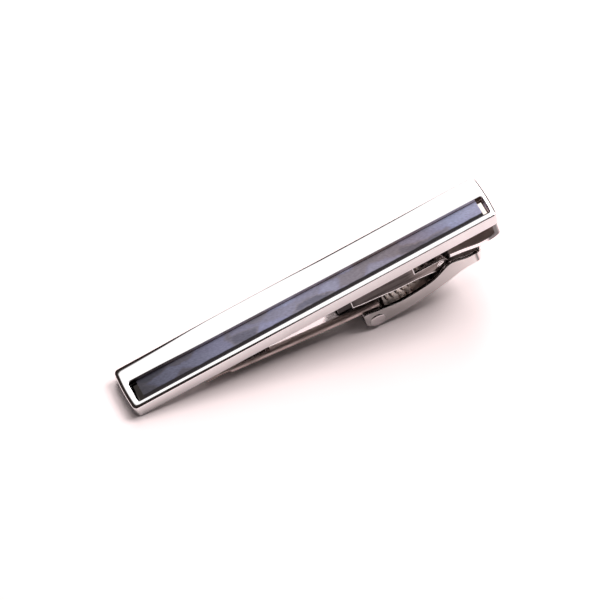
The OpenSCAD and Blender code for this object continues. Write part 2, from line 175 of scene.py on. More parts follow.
def along_bar(nodes, links, x, stops):
    """A colour that changes along the bar, given as (x, colour) stops."""
    ramp = nodes.new("ShaderNodeValToRGB")
    elements = ramp.color_ramp.elements
    for element, (place, colour) in zip(elements, (stops[0], stops[-1])):
        element.position, element.color = place / BAR_LENGTH, (*colour, 1)
    for place, colour in stops[1:-1]:
        elements.new(place / BAR_LENGTH).color = (*colour, 1)
    links.new(ranged(nodes, links, x, 0, BAR_LENGTH, 0, 1), ramp.inputs["Fac"])
    return ramp.outputs["Color"]


def add_bump(nodes, links, shader, height, strength, distance):
    bump = nodes.new("ShaderNodeBump")
    bump.inputs["Strength"].default_value = strength
    bump.inputs["Distance"].default_value = distance * MM
    links.new(height, bump.inputs["Height"])
    links.new(bump.outputs["Normal"], shader.inputs["Normal"])


# The metal: scale, detail and stretch of its noises
CLOUDS = (0.35, 4, None)
STREAKS = (2.2, 4, (0.1, 1, 1))
RUBBING = (3, 3, (0.15, 1, 1))
# Strength and depth of the rubbing marks
RUBBING_BUMP = (0.02, 0.05)
# Where in the noise the duller colour sets in and is full
DULL_RANGE = (0.45, 0.75)
# Where most of a noise lies, and the shares of a metal's roughness at the range's two ends
NOISE_RANGE, POLISH_SHARES = (0.3, 0.7), (0.7, 1.4)


def metal(name, colour, dull_colour, roughness, painted_shading=None, streaks=False, shade_fade=None):
    """Plating with cloudy or streaky variation in its polish and faint rubbing marks along the bar.

    The painted shade is given as (x, level) pairs that darken the plating along the bar, standing
    in for shade and for the shadowed floor it mirrors; the fade is the height where that painted
    shade is full and the height where it ends."""
    material, nodes, links = new_material(name)
    shader = nodes["Principled BSDF"]
    shader.inputs["Metallic"].default_value = 1
    where = bar_coordinates(nodes, links)
    clouds = noise(nodes, links, where, *(STREAKS if streaks else CLOUDS))
    dullness = ranged(nodes, links, clouds, *DULL_RANGE, 0, 1, smooth=True)
    base = mixed(nodes, links, dullness, (*colour, 1), (*dull_colour, 1))
    # Painted shade: the plating is darkened along the bar, fading out with height
    if painted_shading:
        place = axes(nodes, links, where)
        shade_levels = along_bar(nodes, links, place["X"], [(x, (level,) * 3) for x, level in painted_shading])
        strength = ranged(nodes, links, place["Z"], *shade_fade, 1, 0) if shade_fade else 1
        base = mixed(nodes, links, strength, base, shade_levels, "MULTIPLY")
    links.new(base, shader.inputs["Base Color"])
    least, most = (share * roughness for share in POLISH_SHARES)
    links.new(ranged(nodes, links, clouds, *NOISE_RANGE, least, most), shader.inputs["Roughness"])
    add_bump(nodes, links, shader, noise(nodes, links, where, *RUBBING), *RUBBING_BUMP)
    return material


# Mesh helpers. Points nearer than this are joined, in a drawn piece in millimetres and in a copied
# solid in metres, and faces that meet at less than this angle
DRAWN_JOIN, SOLID_JOIN = 1e-5, 1e-7
FLAT_ANGLE = math.radians(1)


def mesh_from(bm, name):
    mesh = bpy.data.meshes.new(name)
    bm.to_mesh(mesh)
    bm.free()
    return mesh


def add_piece(name, bm, materials, body, nodes):
    """Turns a mesh drawn in the bar's own frame into a piece of the clip."""
    bmesh.ops.remove_doubles(bm, verts=bm.verts, dist=DRAWN_JOIN)
    bmesh.ops.recalc_face_normals(bm, faces=bm.faces)
    bm.transform(TO_ROW)
    return finish_piece(name, mesh_from(bm, name), materials, body, nodes)


def finish_piece(name, mesh, materials, body, nodes):
    """Makes a mesh in the row frame a piece; its faces' material indices count materials."""
    for face in mesh.polygons:
        face.use_smooth = True
    piece = new_object(name, mesh)
    for material in materials:
        mesh.materials.append(material)
    if body:
        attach(piece, body)
    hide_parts(*nodes)
    return piece


def keep_faces_flat(piece):
    normals = piece.modifiers.new("flat_faces", "WEIGHTED_NORMAL")
    normals.weight = 100
    normals.keep_sharp = False


def soften(piece, width, segments=3, angle=30):
    """Rounds the edges that are sharper than an angle."""
    bevel = piece.modifiers.new("soft_edges", "BEVEL")
    bevel.width = width * MM
    bevel.segments = segments
    bevel.limit_method = "ANGLE"
    bevel.angle_limit = math.radians(angle)
    bevel.use_clamp_overlap = False
    bevel.miter_outer = "MITER_ARC"
    keep_faces_flat(piece)


def joined_solid(node):
    """A copy of a CAD solid with its flat faces joined up."""
    bm = bmesh.new()
    bm.from_mesh(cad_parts[node].data)
    bmesh.ops.remove_doubles(bm, verts=bm.verts, dist=SOLID_JOIN)
    bmesh.ops.dissolve_limit(bm, angle_limit=FLAT_ANGLE, verts=bm.verts, edges=bm.edges)
    return bm


def loft(bm, rings, closed_ring=True):
    """Faces between neighbouring rings of points; returns the rings' vertices."""
    made = [[bm.verts.new(point) for point in ring] for ring in rings]
    count = len(made[0])
    for ring, after in zip(made, made[1:]):
        for i in range(count if closed_ring else count - 1):
            j = (i + 1) % count
            bm.faces.new((ring[i], ring[j], after[j], after[i]))
    return made


def prism(bm, outline, low, high):
    """A side outline of (x, z) points spread between two places across the clip."""
    sides = [[bm.verts.new((x, y, z)) for x, z in outline] for y in (low, high)]
    count = len(outline)
    for k in range(count):
        j = (k + 1) % count
        bm.faces.new((sides[0][k], sides[0][j], sides[1][j], sides[1][k]))
    bm.faces.new(reversed(sides[0]))
    bm.faces.new(sides[1])


def fill_between(bm, outer, inner):
    """A flat face between two loops of vertices."""
    edges = [bm.edges.get(pair) for loop in (outer, inner)
             for pair in zip(loop, loop[1:] + loop[:1])]
    bmesh.ops.triangle_fill(bm, use_beauty=True, use_dissolve=False, edges=edges)


def between(a, b, share):
    return a + (b - a) * share


def smooth_through(table, share):
    """A smooth curve through a table of (share, value)."""
    if share <= table[0][0]:
        return table[0][1]
    if share >= table[-1][0]:
        return table[-1][1]
    k = max(i for i in range(len(table) - 1) if table[i][0] <= share)
    (x0, y0), (x1, y1) = table[k], table[k + 1]
    before, after = table[max(k - 1, 0)], table[min(k + 2, len(table) - 1)]
    slope0 = (y1 - before[1]) / (x1 - before[0])
    slope1 = (after[1] - y0) / (after[0] - x0)
    width = x1 - x0
    t = (share - x0) / width
    return ((2 * t ** 3 - 3 * t ** 2 + 1) * y0 + (t ** 3 - 2 * t ** 2 + t) * width * slope0
            + (3 * t ** 2 - 2 * t ** 3) * y1 + (t ** 3 - t ** 2) * width * slope1)


def arc(centre_x, centre_y, radius, start, end, steps):
    """Points with outward normals along an arc, with angles in degrees."""
    points = []
    for k in range(steps + 1):
        angle = math.radians(between(start, end, k / steps))
        nx, ny = math.cos(angle), math.sin(angle)
        points.append((centre_x + radius * nx, centre_y + radius * ny, nx, ny))
    return points


# The bar's channel. As in the photograph, its ends and the inlay's start lie a little further right
# than in the solids
LEFT_BORDER, RIGHT_BORDER, NEAR_BORDER = 1.25, 0.75, 1
CHANNEL_DEPTH = 0.8
CHANNEL_LEFT_WIDTH, CHANNEL_RIGHT_WIDTH = 3.45, 2.95
CHANNEL_CORNER = 0.3
INLAY_START, INLAY_END, INLAY_DEPTH = 2.3, 56.3, 0.6
# Radius where the channel's walls meet its floor: at the sides and at the ends
SIDE_COVE, END_COVE = 0.12, 0.42

# The bar's rounded edges: width of the far side's and of the near side's, as (share of the bar's
# length, width), and the height as a share of the width
FAR_EDGE = ((0, 0.98), (0.06, 0.86), (0.14, 0.62), (0.2, 0.34), (0.28, 0.14), (0.45, 0.16),
            (0.56, 0.38), (0.68, 0.38), (0.8, 0.28), (0.9, 0.08), (1, 0.06))
NEAR_EDGE = ((0, 0.42), (0.14, 0.38), (0.26, 0.31), (0.43, 0.25), (0.6, 0.2), (0.8, 0.18),
             (1, 0.22))
FAR_EDGE_RISE, NEAR_EDGE_RISE = 0.25, 1.1
# The same for both ends, and the small bevel round the back as (inset, height)
END_EDGE, END_EDGE_RISE = 0.6, 0.5
BACK_BEVEL = ((0.12, 0), (0.036, 0.036), (0, 0.12))
# The channel's upper edges: widths along the far side, and the (width, height) of the others
CHANNEL_FAR_EDGE = ((0, 0.22), (0.1, 0.2), (0.2, 0.08), (0.4, 0.05), (1, 0.04))
CHANNEL_FAR_HEIGHT = 0.1
CHANNEL_NEAR_EDGE, CHANNEL_END_EDGE = (0.28, 0.16), (0.12, 0.1)

# Points along the outlines: on the long sides, the bar's ends, its corners, the channel's corners
SIDE_STEPS, BOW_STEPS, CORNER_STEPS, CHANNEL_CORNER_STEPS = 24, 10, 8, 6
# Steps round the bar's edges, the channel's edges and its coves
EDGE_STEPS, CHANNEL_EDGE_STEPS, COVE_STEPS = 12, 6, 4


def bar_outline():
    """The bar seen from the front, anticlockwise, as (x, y, outward normal)."""
    corner_y = HALF_WIDTH - PLAN_CORNER
    near_x = BOW_RADIUS - math.sqrt((BOW_RADIUS - PLAN_CORNER) ** 2 - corner_y ** 2)
    far_x = BAR_LENGTH - near_x
    meet = math.degrees(math.atan2(corner_y, BOW_RADIUS - near_x))
    side = [near_x + (far_x - near_x) * k / SIDE_STEPS for k in range(1, SIDE_STEPS)]
    outline = arc(BOW_RADIUS, 0, BOW_RADIUS, 180 - meet, 180 + meet, BOW_STEPS)
    outline += arc(near_x, -corner_y, PLAN_CORNER, 180 + meet, 270, CORNER_STEPS)[1:]
    outline += [(x, -HALF_WIDTH, 0, -1) for x in side]
    outline += arc(far_x, -corner_y, PLAN_CORNER, 270, 360 - meet, CORNER_STEPS)
    outline += arc(BAR_LENGTH - BOW_RADIUS, 0, BOW_RADIUS, -meet, meet, BOW_STEPS)[1:]
    outline += arc(far_x, corner_y, PLAN_CORNER, meet, 90, CORNER_STEPS)[1:]
    outline += [(x, HALF_WIDTH, 0, 1) for x in reversed(side)]
    outline += arc(near_x, corner_y, PLAN_CORNER, 90, 180 - meet, CORNER_STEPS)[:-1]
    return outline


def channel_outline(shrink=0, start=LEFT_BORDER, end=BAR_LENGTH - RIGHT_BORDER,
                    corner=CHANNEL_CORNER):
    """The channel seen from the front; its far side runs in a little towards the right."""
    near_y = NEAR_BORDER - HALF_WIDTH + shrink
    slope = ((CHANNEL_RIGHT_WIDTH - CHANNEL_LEFT_WIDTH)
             / (BAR_LENGTH - LEFT_BORDER - RIGHT_BORDER))
    start, end = start + shrink, end - shrink

    def far(x):
        return NEAR_BORDER - HALF_WIDTH + CHANNEL_LEFT_WIDTH + slope * (x - LEFT_BORDER) - shrink

    def turned(x, y, first_angle):
        return arc(x, y, corner, first_angle, first_angle + 90, CHANNEL_CORNER_STEPS)

    side = [between(start + corner, end - corner, k / SIDE_STEPS) for k in range(1, SIDE_STEPS)]
    points = turned(start + corner, near_y + corner, 180)
    points += [(x, near_y, 0, -1) for x in side]
    points += turned(end - corner, near_y + corner, 270)
    points += turned(end - corner, far(end - corner) - corner, 0)
    points += [(x, far(x), 0, 1) for x in reversed(side)]
    points += turned(start + corner, far(start + corner) - corner, 90)
    return points


def drawn_in(point, share):
    """A point moved in by a share of its rounded edge's width, and that edge's height."""
    x, y, nx, ny = point
    table, rise = (FAR_EDGE, FAR_EDGE_RISE) if y > 0 else (NEAR_EDGE, NEAR_EDGE_RISE)
    width = smooth_through(table, x / BAR_LENGTH)
    inner_x = HALF_LENGTH + (x - HALF_LENGTH) * (1 - share * END_EDGE / HALF_LENGTH)
    inner_y = y * (1 - share * width / HALF_WIDTH)
    return inner_x, inner_y, nx * nx * END_EDGE * END_EDGE_RISE + ny * ny * (width * rise)


def channel_edge_size(point):
    x, y, nx, ny = point
    side = CHANNEL_NEAR_EDGE
    if ny > 0:
        side = (smooth_through(CHANNEL_FAR_EDGE, x / BAR_LENGTH), CHANNEL_FAR_HEIGHT)
    return [nx * nx * at_end + ny * ny * at_side
            for at_end, at_side in zip(CHANNEL_END_EDGE, side)]


def inset_ring(outline, inset, height):
    return [(x - nx * inset, y - ny * inset, height) for x, y, nx, ny in outline]


def bar_mesh():
    """The bar; its back has the second material, the channel's walls and floor have the third."""
    bm = bmesh.new()
    outline = bar_outline()
    rings = [inset_ring(outline, inset, height) for inset, height in BACK_BEVEL]
    for k in range(EDGE_STEPS + 1):
        turn = math.pi / 2 * k / EDGE_STEPS
        ring = []
        for point in outline:
            x, y, height = drawn_in(point, 1 - math.cos(turn))
            ring.append((x, y, BAR_THICKNESS - height * (1 - math.sin(turn))))
        rings.append(ring)
    outer = loft(bm, rings)
    bm.faces.new(reversed(outer[0])).material_index = 1
    hollow = channel_outline()
    rings = []
    for k in range(CHANNEL_EDGE_STEPS + 1):
        turn = math.pi / 2 * (1 - k / CHANNEL_EDGE_STEPS)
        ring = []
        for point in hollow:
            x, y, nx, ny = point
            width, height = channel_edge_size(point)
            out = width * (1 - math.cos(turn))
            ring.append((x + nx * out, y + ny * out,
                         BAR_THICKNESS - height * (1 - math.sin(turn))))
        rings.append(ring)
    for k in range(COVE_STEPS + 1):
        turn = math.pi / 2 * k / COVE_STEPS
        ring = []
        for x, y, nx, ny in hollow:
            cove = between(SIDE_COVE, END_COVE, nx * nx)
            inset = cove * (1 - math.cos(turn))
            ring.append((x - nx * inset, y - ny * inset,
                         BAR_THICKNESS - CHANNEL_DEPTH + cove * (1 - math.sin(turn))))
        rings.append(ring)
    edge_end = len(bm.faces) + CHANNEL_EDGE_STEPS * len(hollow)
    inner = loft(bm, rings)
    bm.faces.new(inner[-1])
    for face in list(bm.faces)[edge_end:]:
        face.material_index = 2
    fill_between(bm, outer[-1], inner[0])
    return bm


def add_bar(material, back_material, channel_material):
    keep_faces_flat(add_piece("polished_bar", bar_mesh(),
                              (material, back_material, channel_material),
                              "bar", ["front_bar"]))


# The inlay: its gap to the channel's walls, its corners, and its profile as (inset, height over the
# channel's floor)
INLAY_GAP, INLAY_CORNER = 0.03, 0.08
INLAY_HEIGHT = CHANNEL_DEPTH - INLAY_DEPTH
INLAY_PROFILE = ((0.12, 0), (0, 0.05), (0, INLAY_HEIGHT - 0.04), (0.012, INLAY_HEIGHT - 0.012),
                 (0.04, INLAY_HEIGHT))


def add_inlay(material):
    bm = bmesh.new()
    outline = channel_outline(INLAY_GAP, INLAY_START, INLAY_END, INLAY_CORNER)
    made = loft(bm, [inset_ring(outline, inset, BAR_THICKNESS - CHANNEL_DEPTH + height)
                     for inset, height in INLAY_PROFILE])
    bm.faces.new(reversed(made[0]))
    bm.faces.new(made[-1])
    keep_faces_flat(add_piece("shell_inlay", bm, (material,), "bar", ["inlay_strip"]))


# The shell's colours: one for each share of its patches, and what each place along the bar makes of
# them: painted shade and light, darker at the left end and paler at the right, with the shell's own
# tints
SHELL_COLOURS = ((0, (0.12, 0.115, 0.16)), (1, (0.30, 0.30, 0.42)), (0.35, (0.21, 0.19, 0.235)),
                 (0.65, (0.24, 0.23, 0.34)))
SHELL_SHADE_AND_TINT = ((1, (0.35, 0.35, 0.35)), (7, (0.6, 0.6, 0.6)), (12, (0.85, 0.85, 0.85)),
               (16, (1.2, 1.2, 1.2)), (26, (1.72, 1.75, 1.75)), (34, (1.55, 1.5, 1.4)),
               (46, (1.45, 1.3, 1.15)), (52, (1.5, 1.55, 1.6)), (58, (2, 1.95, 1.9)))
PATCH_TURN, PATCH_STRETCH, PATCH_SMOOTHNESS = math.radians(-35), (0.22, 0.5, 0), 0.35
# How far a noise bends the patches' borders, and that noise's scale and detail
PATCH_WOBBLE, WOBBLE = (0.35, 0.35, 0), (0.8, 3)
# Fine grain: scale, detail and stretch, and how much it darkens and brightens
GRAIN, GRAIN_LEVELS = (6, 5, (2.5, 1, 1)), (0.82, 1.18)
# Painted shade along the near wall: its colour, the y where it ends, and how a noise moves that end
NEAR_WALL_SHADE_COLOUR, NEAR_WALL_SHADE_END = (0.012, 0.007, 0.009, 1), (-1.88, -1.68)
NEAR_WALL_SHADE_WOBBLE, NEAR_WALL_SHADE_NOISE = 0.25, (0.5, 4, (1, 0, 0))
SHELL_FINISH = {"Roughness": 0.35, "Specular IOR Level": 0.2, "Coat Weight": 0.05,
                "Coat Roughness": 0.1}
# The surface's waves: scale, detail and stretch, and their strength and depth
WAVES, WAVES_BUMP = (1.5, 3, (0.4, 1, 1)), (0.15, 0.03)


def patch_colours(nodes, links, where, slanted):
    """Slanted patches of pearly shell, each with its own tint."""
    shift = nodes.new("ShaderNodeVectorMath")
    shift.operation = "MULTIPLY_ADD"
    for value, socket in zip((noise(nodes, links, where, *WOBBLE), PATCH_WOBBLE, slanted),
                             shift.inputs):
        put(links, value, socket)
    patches = nodes.new("ShaderNodeTexVoronoi")
    patches.feature = "SMOOTH_F1"
    patches.inputs["Scale"].default_value = 1
    patches.inputs["Smoothness"].default_value = PATCH_SMOOTHNESS
    links.new(shift.outputs["Vector"], patches.inputs["Vector"])
    tint = nodes.new("ShaderNodeSeparateColor")
    links.new(patches.outputs["Color"], tint.inputs["Color"])
    ramp = nodes.new("ShaderNodeValToRGB")
    elements = ramp.color_ramp.elements
    for element, (share, colour) in zip(elements, SHELL_COLOURS[:2]):
        element.position, element.color = share, (*colour, 1)
    for share, colour in SHELL_COLOURS[2:]:
        elements.new(share).color = (*colour, 1)
    links.new(tint.outputs["Red"], ramp.inputs["Fac"])
    return ramp.outputs["Color"]


def inlay_material():
    material, nodes, links = new_material("shell")
    shader = nodes["Principled BSDF"]
    where = bar_coordinates(nodes, links)
    place = axes(nodes, links, where)
    slanted = mapped(nodes, links, where, Rotation=(0, 0, PATCH_TURN), Scale=PATCH_STRETCH)
    tinted = mixed(nodes, links, 1, patch_colours(nodes, links, where, slanted),
                   along_bar(nodes, links, place["X"], SHELL_SHADE_AND_TINT), "MULTIPLY")
    grained = nodes.new("ShaderNodeVectorMath")
    grained.operation = "SCALE"
    links.new(tinted, grained.inputs[0])
    grain = noise(nodes, links, slanted, *GRAIN)
    links.new(ranged(nodes, links, grain, *NOISE_RANGE, *GRAIN_LEVELS), grained.inputs["Scale"])
    # Painted shade: a dark band along the channel's near wall
    moved = calculated(nodes, links, "MULTIPLY_ADD", noise(nodes, links, where, *NEAR_WALL_SHADE_NOISE),
                       NEAR_WALL_SHADE_WOBBLE, place["Y"])
    unshaded = ranged(nodes, links, moved, *NEAR_WALL_SHADE_END, 0, 1, smooth=True)
    links.new(mixed(nodes, links, unshaded, NEAR_WALL_SHADE_COLOUR, grained.outputs["Vector"]),
              shader.inputs["Base Color"])
    for name, value in SHELL_FINISH.items():
        shader.inputs[name].default_value = value
    add_bump(nodes, links, shader, noise(nodes, links, where, *WAVES), *WAVES_BUMP)
    return material


# The thumb lever: a channel-shaped sheet, open towards the bar, with an eye round the rivet at its
# front and a closed tail
LEVER_WIDTH, LEVER_SHEET, TAIL_CORNER = 6.6, 0.5, 0.95
# The bend between its back and its walls, at most these shares of its half width and its walls,
# and the least bend and wall inside
LEVER_BEND, BEND_OF_HALF, BEND_OF_WALL = 0.75, 0.9, 0.6
LEAST_BEND, LEAST_LEVER_WALL = 0.2, 0.3
# How far its back and its rim lie below the bar, as (share of its span from the rivet to the tail,
# share of its drop)
LEVER_SPAN, LEVER_DROP = 17.65, 9.7
BACK = ((0, 1), (0.085, 1), (0.176, 0.999), (0.266, 0.993), (0.346, 0.975), (0.439, 0.95),
        (0.527, 0.917), (0.606, 0.878), (0.68, 0.836), (0.731, 0.807), (0.782, 0.777),
        (0.867, 0.762), (0.929, 0.754), (0.974, 0.735), (1, 0.69))
RIM = ((-0.102, 0.615), (-0.09, 0.572), (-0.062, 0.564), (0.011, 0.6), (0.13, 0.645),
       (0.19, 0.664), (0.249, 0.672), (0.312, 0.666), (0.374, 0.655), (0.437, 0.641),
       (0.499, 0.62), (0.541, 0.595), (0.584, 0.558), (0.633, 0.499), (0.665, 0.455),
       (0.697, 0.424), (0.725, 0.415), (0.751, 0.424), (0.793, 0.448), (0.836, 0.477),
       (0.878, 0.492), (0.918, 0.492), (1, 0.49))
# Steps round the eye's front and the tail's corner, between them, and round a channel's bend
LEVER_TURN_STEPS, LEVER_STEPS, BEND_STEPS = 8, 44, 6


def lever_rim(x):
    return -LEVER_DROP * smooth_through(RIM, (x - RIVET.x) / LEVER_SPAN)


def eye_bottom(x, radius):
    """The lower side of a circle round the rivet, held level in front of the circle."""
    reach = min(radius, RIVET.x - x)
    return RIVET.z - math.sqrt(radius ** 2 - reach ** 2)


def lever_back(x):
    if x <= RIVET.x:
        return eye_bottom(x, EYE_RADIUS)
    return -LEVER_DROP * smooth_through(BACK, (x - RIVET.x) / LEVER_SPAN)


def lever_stations():
    """Places along the lever: outer x and half width, inner x and half width."""
    half = LEVER_WIDTH / 2
    tail_start = RIVET.x + LEVER_SPAN - TAIL_CORNER
    places = [RIVET.x - EYE_RADIUS * math.cos(math.pi / 2 * k / LEVER_TURN_STEPS)
              for k in range(LEVER_TURN_STEPS + 1)]
    places += [between(RIVET.x, tail_start, k / LEVER_STEPS) for k in range(1, LEVER_STEPS + 1)]
    stations = [(x, half, x, half - LEVER_SHEET) for x in places]
    for k in range(1, LEVER_TURN_STEPS + 1):
        turn = math.pi / 2 * k / LEVER_TURN_STEPS
        station = []
        for radius in (TAIL_CORNER, TAIL_CORNER - LEVER_SHEET):
            station += [tail_start + radius * math.sin(turn),
                        half - TAIL_CORNER + radius * math.cos(turn)]
        stations.append(station)
    return stations


def channel_section(x, half, rim, back, bend):
    """A channel cut across, near rim to far rim over its back; it opens up or down."""
    towards_rim = 1 if rim > back else -1
    points = [(x, -half, rim), (x, -half, between(rim, back + towards_rim * bend, 0.5))]
    for k in range(BEND_STEPS + 1):
        turn = math.pi / 2 * k / BEND_STEPS
        points.append((x, -half + bend * (1 - math.cos(turn)),
                       back + towards_rim * bend * (1 - math.sin(turn))))
    mirrored = [(px, -py, pz) for px, py, pz in reversed(points)]
    return points + [(x, 0, back)] + mirrored


def channel_shell(bm, inner_rings, outer_rings):
    """Both skins of a sheet channel with the rims between them.

    The inner skin has the second material, a darker copy as painted shade inside the channel, apart
    from its far wall, which keeps the outer material as a lit wall."""
    inner = loft(bm, inner_rings, False)
    per_band = len(inner_rings[0]) - 1
    for k, face in enumerate(bm.faces):
        face.material_index = 0 if k % per_band >= per_band - 2 else 1
    outer = loft(bm, outer_rings, False)
    for end in (0, -1):
        for k in range(len(outer) - 1):
            bm.faces.new((outer[k][end], outer[k + 1][end], inner[k + 1][end], inner[k][end]))
    return inner, outer


def join_rings(bm, outer, inner):
    for k in range(len(outer) - 1):
        bm.faces.new((outer[k], outer[k + 1], inner[k + 1], inner[k]))


def add_lever(material, inner_material):
    bm = bmesh.new()
    outer_rings, inner_rings = [], []
    for x, half, inner_x, inner_half in lever_stations():
        back, rim = lever_back(x), lever_rim(x)
        bend = min(LEVER_BEND, half * BEND_OF_HALF, (rim - back) * BEND_OF_WALL)
        outer_rings.append(channel_section(x, half, rim, back, bend))
        inner_back = lever_back(inner_x) + LEVER_SHEET
        if x < RIVET.x:
            inner_back = max(inner_back, eye_bottom(x, EYE_RADIUS - LEVER_SHEET))
        inner_back = min(inner_back, rim - LEAST_LEVER_WALL)
        inner_rings.append(channel_section(inner_x, inner_half, rim, inner_back,
                                           max(bend - LEVER_SHEET, LEAST_BEND)))
    inner, outer = channel_shell(bm, inner_rings, outer_rings)
    join_rings(bm, outer[0], inner[0])
    # The tail's end, outside, inside and its rim
    bm.faces.new(outer[-1])
    bm.faces.new(inner[-1]).material_index = 1
    bm.faces.new((outer[-1][0], outer[-1][-1], inner[-1][-1], inner[-1][0]))
    piece = add_piece("pressed_lever", bm, (material, inner_material),
                      "lever", ["thumb_lever"])
    soften(piece, 0.09, angle=40)


# The jaw: its upper side as (x, z) points, its walls' height and sheet, and its half width
JAW_TOP = ((11, -0.04), (11.9, -0.04), (12.49, -1.351), (14.7, -1.896), (31.766, -4.4),
           (36.7, -4.898))
JAW_WALL, JAW_SHEET, JAW_HALF = 0.95, 0.45, 2.7
# The rounding of its upper edges, at most this share of the wall; inside; and on the solid tip
JAW_SHOULDER, SHOULDER_OF_WALL = 0.85, 0.9
JAW_INNER_BEND, TIP_BEND = 0.04, 0.3
# Over this length behind the tip the walls grow from this height to their full one
TAPER_LENGTH, TAPER_WALL = 0.5, JAW_SHEET + 0.05
# Its ears' radius round the rivet, their gap to the walls, and the height of the tip's lower side
JAW_EAR, EAR_GAP = 1.134, 0.05
TIP_BOTTOM = -2
# First and last ridge and their number; a ridge's foot, half width, crest's half width and height,
# and how far it ends from the jaw's sides
RIDGES = (16.14, 20.77, 8)
RIDGE_FOOT, RIDGE_HALF, CREST_HALF, RIDGE_HEIGHT = 0.1, 0.3, 0.05, 0.25
RIDGE_MARGIN = 0.3
# The heel that carries the spring's front end, as a side outline, and its half width
HEEL = ((36.7, -4.898), (38.645, -4.898), (38.645, -8.875), (38.195, -8.875), (38.195, -5.348),
        (36.7, -5.348))
HEEL_HALF = 1.3
TAPER_STEPS, JAW_STEPS, EAR_STEPS = 5, 40, 16


def jaw_top(x):
    for (x0, z0), (x1, z1) in zip(JAW_TOP, JAW_TOP[1:]):
        if x <= x1:
            return between(z0, z1, (x - x0) / (x1 - x0))
    return JAW_TOP[-1][1]


def jaw_stations():
    """Places along the jaw: x and the height of its walls' lower edge."""
    start, end = JAW_TOP[3][0], RIVET.x - JAW_EAR - EAR_GAP
    stations = []
    for k in range(TAPER_STEPS + 1):
        turn = math.pi / 2 * k / TAPER_STEPS
        x = start + TAPER_LENGTH * (1 - math.cos(turn))
        stations.append((x, jaw_top(x) - between(TAPER_WALL, JAW_WALL, math.sin(turn))))
    for k in range(1, JAW_STEPS + 1):
        x = between(start + TAPER_LENGTH, end, k / JAW_STEPS)
        stations.append((x, jaw_top(x) - JAW_WALL))
    for k in range(EAR_STEPS + 1):
        turn = math.pi * k / EAR_STEPS
        stations.append((RIVET.x - JAW_EAR * math.cos(turn), RIVET.z - JAW_EAR * math.sin(turn)))
    return stations


def add_jaw(material, inner_material, top_material):
    bm = bmesh.new()
    outer_rings, inner_rings = [], []
    for x, bottom in jaw_stations():
        top = jaw_top(x)
        shoulder = min(JAW_SHOULDER, (top - bottom) * SHOULDER_OF_WALL)
        outer_rings.append(channel_section(x, JAW_HALF, bottom, top, shoulder))
        inner_rings.append(channel_section(x, JAW_HALF - JAW_SHEET, bottom, top - JAW_SHEET,
                                           JAW_INNER_BEND))
    inner, outer = channel_shell(bm, inner_rings, outer_rings)
    # The flat top between the shoulders has the third material, a brighter copy of the plating as a
    # painted highlight
    for ring in outer:
        for vert in ring[BEND_STEPS + 2:BEND_STEPS + 4]:
            for face in vert.link_faces:
                if abs(face.calc_center_median().y) < JAW_HALF - JAW_SHOULDER:
                    face.material_index = 2
    join_rings(bm, outer[0], inner[0])
    join_rings(bm, outer[-1], inner[-1])
    # The turned-up tip is solid
    (tip_x, _), (root_x, root_z) = JAW_TOP[0], JAW_TOP[3]
    rings = []
    for x, z in JAW_TOP[:4]:
        bottom = between(TIP_BOTTOM, root_z - JAW_SHEET, (x - tip_x) / (root_x - tip_x))
        rings.append(channel_section(x, JAW_HALF, bottom, z, TIP_BEND))
    tip = loft(bm, rings)
    bm.faces.new(reversed(tip[0]))
    bm.faces.new(tip[-1])
    plain_faces = len(bm.faces)
    first, last, count = RIDGES
    ridge_end = JAW_HALF - RIDGE_MARGIN
    for k in range(count):
        x = between(first, last, k / (count - 1))
        z = jaw_top(x)
        slope = (jaw_top(x + RIDGE_HALF) - jaw_top(x - RIDGE_HALF)) / 2
        prism(bm, ((x - RIDGE_HALF, z - slope - RIDGE_FOOT),
                   (x + RIDGE_HALF, z + slope - RIDGE_FOOT), (x + RIDGE_HALF, z + slope),
                   (x + CREST_HALF, z + RIDGE_HEIGHT), (x - CREST_HALF, z + RIDGE_HEIGHT),
                   (x - RIDGE_HALF, z - slope)), -ridge_end, ridge_end)
    # The ridges take the second material, near black as painted shade
    for face in list(bm.faces)[plain_faces:]:
        face.material_index = 1
    prism(bm, HEEL, -HEEL_HALF, HEEL_HALF)
    piece = add_piece("ridged_jaw", bm, (material, inner_material, top_material),
                      "jaw", ["jaw_arm"])
    soften(piece, 0.06, angle=40)


# The rivet: its shank's radius, and its head's profile as (radius, height over the lever's side)
SHANK_RADIUS = 0.55
HEAD = ((1.2, 0), (1.19, 0.05), (1.15, 0.1), (1.07, 0.15), (0.95, 0.18), (0.7, 0.195), (0.3, 0.2))
RIVET_STEPS = 48


def round_part(bm, profile):
    """A closed turned part on the rivet's axis, from (radius, y) pairs."""
    rings = []
    for radius, y in profile:
        turns = [2 * math.pi * k / RIVET_STEPS for k in range(RIVET_STEPS)]
        rings.append([(RIVET.x + radius * math.cos(turn), y, RIVET.z + radius * math.sin(turn))
                      for turn in turns])
    made = loft(bm, rings)
    bm.faces.new(made[0])
    bm.faces.new(made[-1])


def add_rivet(material):
    bm = bmesh.new()
    side = LEVER_WIDTH / 2
    for sign in (-1, 1):
        round_part(bm, [(radius, sign * (side + height)) for radius, height in HEAD])
    round_part(bm, ((SHANK_RADIUS, -side), (SHANK_RADIUS, side)))
    add_piece("domed_rivet", bm, (material,), "lever", ["jaw_rivet"])


# The curled strip under the bar's right end; its outside as (share of its length from that end,
# share of its drop)
STRIP_LENGTH, STRIP_DROP, STRIP_THICKNESS = 8.5, 3, 0.75
STRIP = ((0, 0), (0, 0.35), (0.012, 0.54), (0.045, 0.71), (0.09, 0.83), (0.15, 0.91),
         (0.22, 0.96), (0.31, 0.99), (0.39, 1), (0.48, 0.985), (0.57, 0.93), (0.67, 0.85),
         (0.78, 0.765), (0.9, 0.7), (1, 0.65))
STRIP_HALF = HALF_WIDTH - 0.05
# Steps from its middle to each side
STRIP_STEPS = 14


